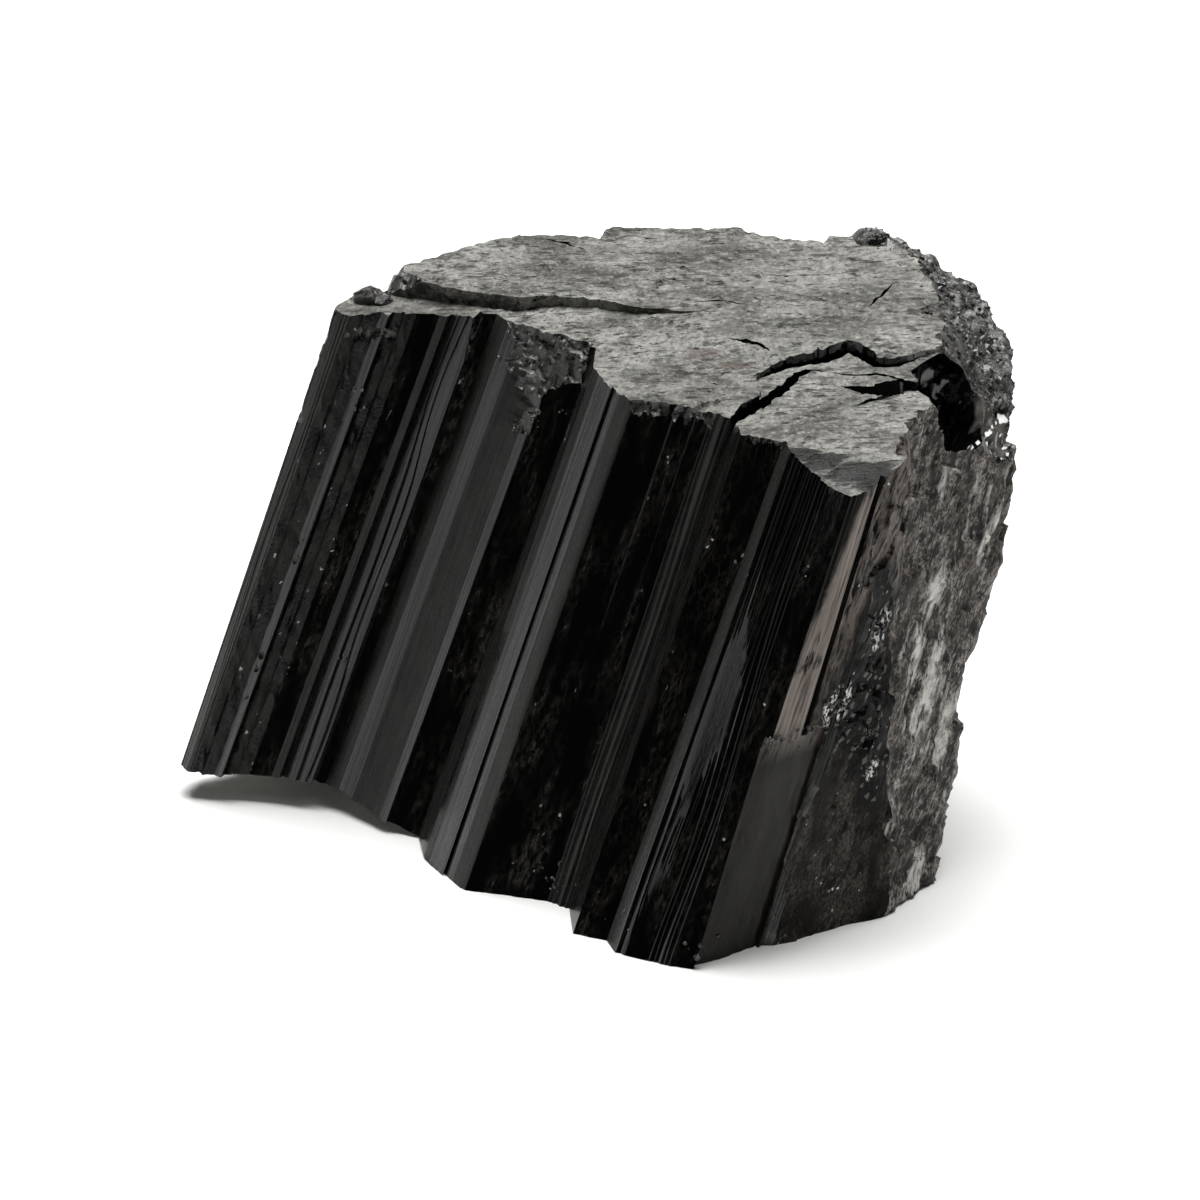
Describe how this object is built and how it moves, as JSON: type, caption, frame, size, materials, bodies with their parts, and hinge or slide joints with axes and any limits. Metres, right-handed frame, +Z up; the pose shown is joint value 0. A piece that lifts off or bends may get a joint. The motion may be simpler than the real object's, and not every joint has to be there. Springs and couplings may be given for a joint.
{
  "type": "black tourmaline crystal",
  "caption": "Broken chunk of a black tourmaline prism with lengthwise striations, a flat stepped upper break and a rough side, resting on its lower break.",
  "frame": {"origin": "middle of the footprint, on the surface that the crystal rests on", "axes": "+Z up; -Y towards the side with the striated prism faces; +X towards the rough broken side"},
  "size_m": [0.0664, 0.053, 0.04],
  "materials": {
    "tourmaline_crystal": "glassy black, striated"
  },
  "bodies": {
    "root": {"tourmaline_crystal": "tourmaline_crystal"}
  },
  "joints": []
}
